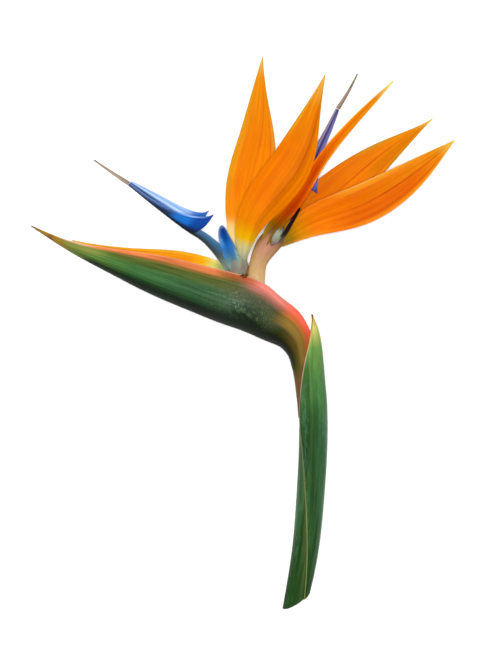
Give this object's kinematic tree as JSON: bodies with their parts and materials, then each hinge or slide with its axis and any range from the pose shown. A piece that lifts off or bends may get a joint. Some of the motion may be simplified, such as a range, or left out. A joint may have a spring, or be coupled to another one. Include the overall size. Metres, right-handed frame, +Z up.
{
  "type": "bird of paradise flower",
  "caption": "Cut flower head: a boat-shaped green spathe across a sheathed stalk, with orange sepals fanning upward and blue arrow-shaped petals, lying on its side.",
  "frame": {"origin": "bottom centre of the bounding box: the middle of its footprint, on the surface it lies on", "axes": "+Z up, off the surface it lies on; +Y along the flower's height, from the cut end of the stalk to the tips of the sepals; -X towards the point of the spathe"},
  "size_m": [0.2338, 0.3042, 0.0256],
  "materials": {
    "stalk_green": "satin",
    "sheath_green": "satin",
    "spathe_green": "satin",
    "sepal_orange": "satin",
    "petal_blue": "satin",
    "style_cream": "satin",
    "ovary_tan": "satin"
  },
  "bodies": {
    "root": {"stem": "stalk_green", "stem_sheath": "sheath_green", "spathe": "spathe_green", "floret_1_ovary": "ovary_tan", "floret_2_ovary": "ovary_tan", "floret_1_sepal_left": "sepal_orange", "floret_1_sepal_right": "sepal_orange", "floret_1_sepal_low": "sepal_orange", "floret_2_sepal_narrow": "sepal_orange", "floret_2_sepal_upper": "sepal_orange", "floret_2_sepal_lower": "sepal_orange", "floret_1_arrow_petals": "petal_blue", "floret_2_arrow_petals": "petal_blue", "floret_1_small_petal": "petal_blue", "floret_2_small_petal": "petal_blue", "floret_1_style": "style_cream", "floret_2_style": "style_cream"}
  },
  "joints": []
}
